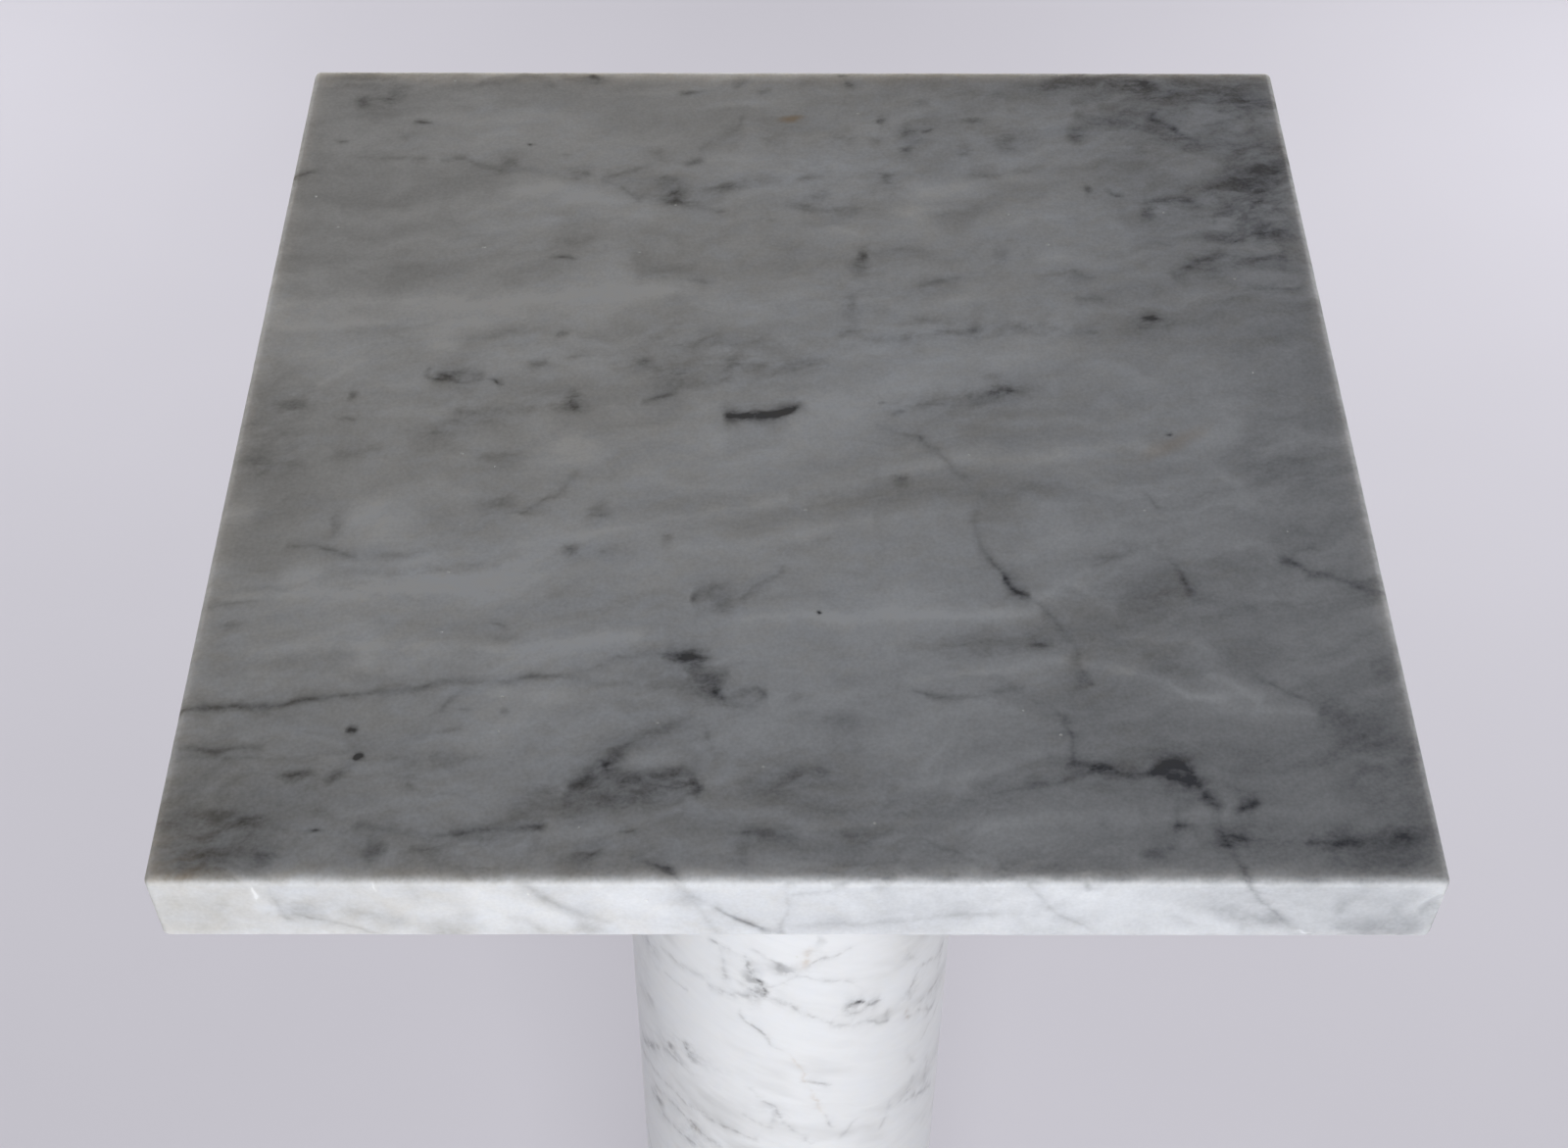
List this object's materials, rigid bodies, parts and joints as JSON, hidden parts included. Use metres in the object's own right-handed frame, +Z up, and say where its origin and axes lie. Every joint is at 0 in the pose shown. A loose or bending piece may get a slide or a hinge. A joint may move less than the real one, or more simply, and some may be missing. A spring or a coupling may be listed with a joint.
{
  "type": "pedestal column stand",
  "caption": "Marble display pedestal: square slab top on a turned capital and tapered round shaft, with a moulded base on a square plinth.",
  "frame": {"origin": "on the floor, on the axis of the column", "axes": "+Z up along the column, -Y towards the front, +X to the right; slab and plinth edges are parallel to X and Y"},
  "size_m": [0.3, 0.3, 1.05],
  "materials": {
    "slab_marble": "polished grey-clouded white marble, worn to satin",
    "column_marble": "satin white marble with thin grey veins",
    "plinth_marble": "satin white marble with grey clouds",
    "mastic": "cured stone mastic",
    "zinc_steel": "zinc plated",
    "washer_rubber": "black rubber",
    "foot_rubber": "moulded black rubber"
  },
  "bodies": {
    "root": {"top_slab": "slab_marble", "capital": "column_marble", "shaft": "column_marble", "base_moulding": "column_marble", "plinth": "plinth_marble", "plinth_bed": "mastic", "shaft_foot_bed": "mastic", "capital_bed": "mastic", "slab_bed": "mastic", "tie_rod": "zinc_steel", "upper_washer": "zinc_steel", "upper_nut": "zinc_steel", "lower_washer": "zinc_steel", "lower_spring_washer": "zinc_steel", "lower_nut": "zinc_steel", "upper_cushion_washer": "washer_rubber", "lower_cushion_washer": "washer_rubber", "foot_front_left": "foot_rubber", "foot_front_right": "foot_rubber", "foot_back_left": "foot_rubber", "foot_back_right": "foot_rubber"}
  },
  "joints": []
}
